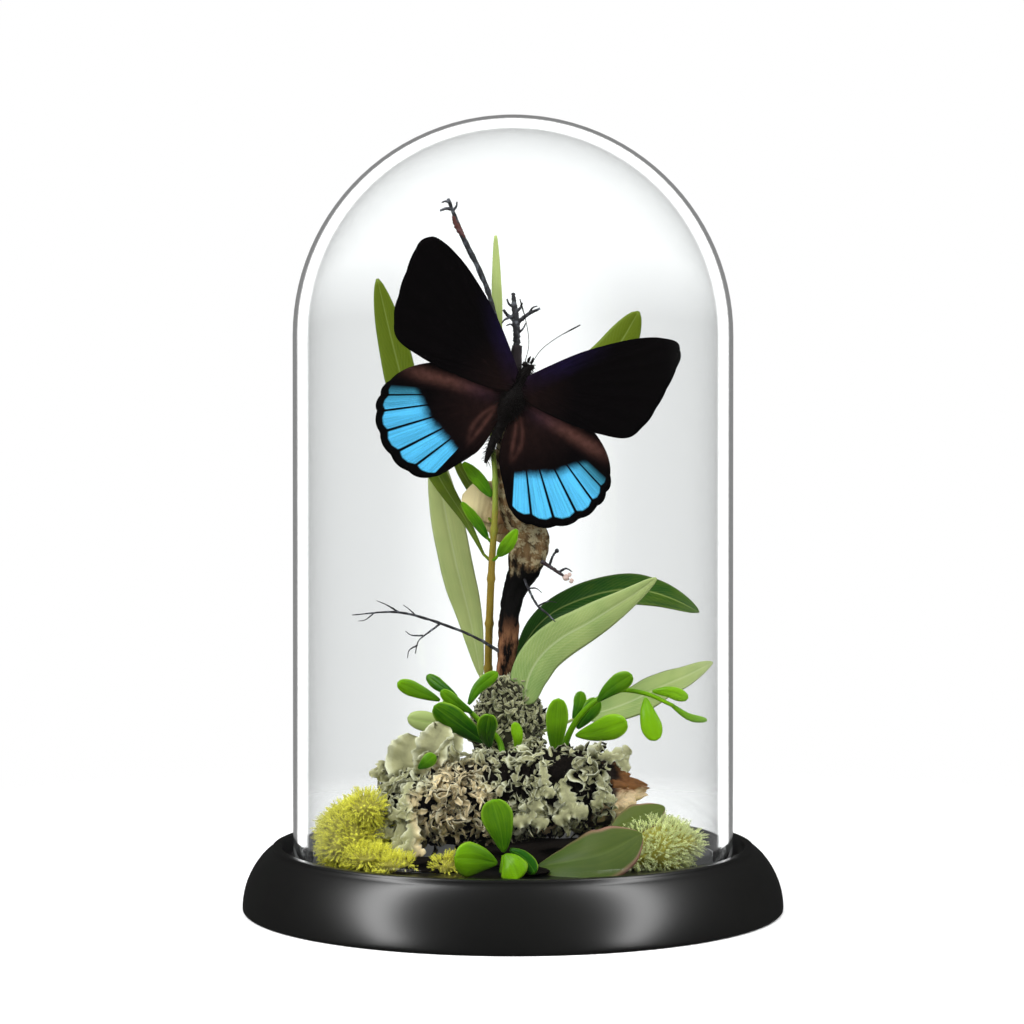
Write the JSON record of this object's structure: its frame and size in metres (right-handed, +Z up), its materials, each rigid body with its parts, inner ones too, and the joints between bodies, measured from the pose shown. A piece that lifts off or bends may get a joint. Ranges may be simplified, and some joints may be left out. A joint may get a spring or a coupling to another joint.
{
  "type": "insect in glass dome",
  "caption": "Mounted butterfly over a small arrangement of wood, lichen, moss and leaves, under a clear glass dome on a round black base.",
  "frame": {"origin": "centre of the base's underside", "axes": "+Z up along the dome's axis, -Y towards the front, +X to the viewer's right"},
  "size_m": [0.14, 0.14, 0.205],
  "materials": {
    "lacquer": "satin black lacquer",
    "glass": "clear polished glass",
    "bark": "rough brown bark",
    "twig": "dark rough bark",
    "wing": "matte scales, with an iridescent blue band on the hindwings",
    "insect": "matte, fine hairs",
    "stem": "satin",
    "dark_leaf": "satin, veined",
    "pale_leaf": "matte, veined",
    "bright_leaf": "soft gloss",
    "lichen": "matte, crusty",
    "moss": "matte fibres",
    "pale_moss": "matte fibres"
  },
  "bodies": {
    "root": {"antenna_left": "insect", "antenna_right": "insect", "arching_leaf_dark": "dark_leaf", "arching_leaf_pale": "pale_leaf", "base": "lacquer", "branch": "twig", "branch_crown": "twig", "branch_knot_twig": "twig", "branch_left_twig": "twig", "branch_low_twig": "twig", "branch_top_twig": "twig", "broad_leaf_back": "dark_leaf", "broad_leaf_front": "dark_leaf", "butterfly_body": "insect", "forewing_left": "wing", "forewing_right": "wing", "glass_dome": "glass", "hindwing_left": "wing", "hindwing_right": "wing", "lichen_cup": "lichen", "lichen_foot": "lichen", "lichen_left": "lichen", "lichen_middle": "lichen", "lichen_right": "lichen", "log": "bark", "low_leaf_pale": "pale_leaf", "moss_left": "moss", "moss_right": "pale_moss", "sprig_front_leaf_1": "bright_leaf", "sprig_front_leaf_2": "bright_leaf", "sprig_front_leaf_3": "bright_leaf", "sprig_front_leaf_4": "bright_leaf", "sprig_front_stem": "bright_leaf", "sprig_left_leaf_1": "bright_leaf", "sprig_left_leaf_2": "bright_leaf", "sprig_left_leaf_3": "bright_leaf", "sprig_left_leaf_4": "bright_leaf", "sprig_left_leaf_5": "bright_leaf", "sprig_left_leaf_6": "bright_leaf", "sprig_left_leaf_7": "bright_leaf", "sprig_left_stem": "bright_leaf", "sprig_right_leaf_1": "bright_leaf", "sprig_right_leaf_2": "bright_leaf", "sprig_right_leaf_3": "bright_leaf", "sprig_right_leaf_4": "bright_leaf", "sprig_right_leaf_5": "bright_leaf", "sprig_right_leaf_6": "bright_leaf", "sprig_right_leaf_7": "bright_leaf", "sprig_right_leaf_8": "bright_leaf", "sprig_right_stem": "bright_leaf", "tall_leaf_back": "dark_leaf", "tall_leaf_left": "dark_leaf", "tall_leaf_pale": "pale_leaf", "tall_leaf_small_1": "bright_leaf", "tall_leaf_small_2": "pale_leaf", "tall_leaf_small_3": "bright_leaf", "tall_leaf_small_4": "bright_leaf", "tall_leaf_top": "bright_leaf", "tall_stem": "stem"}
  },
  "joints": []
}
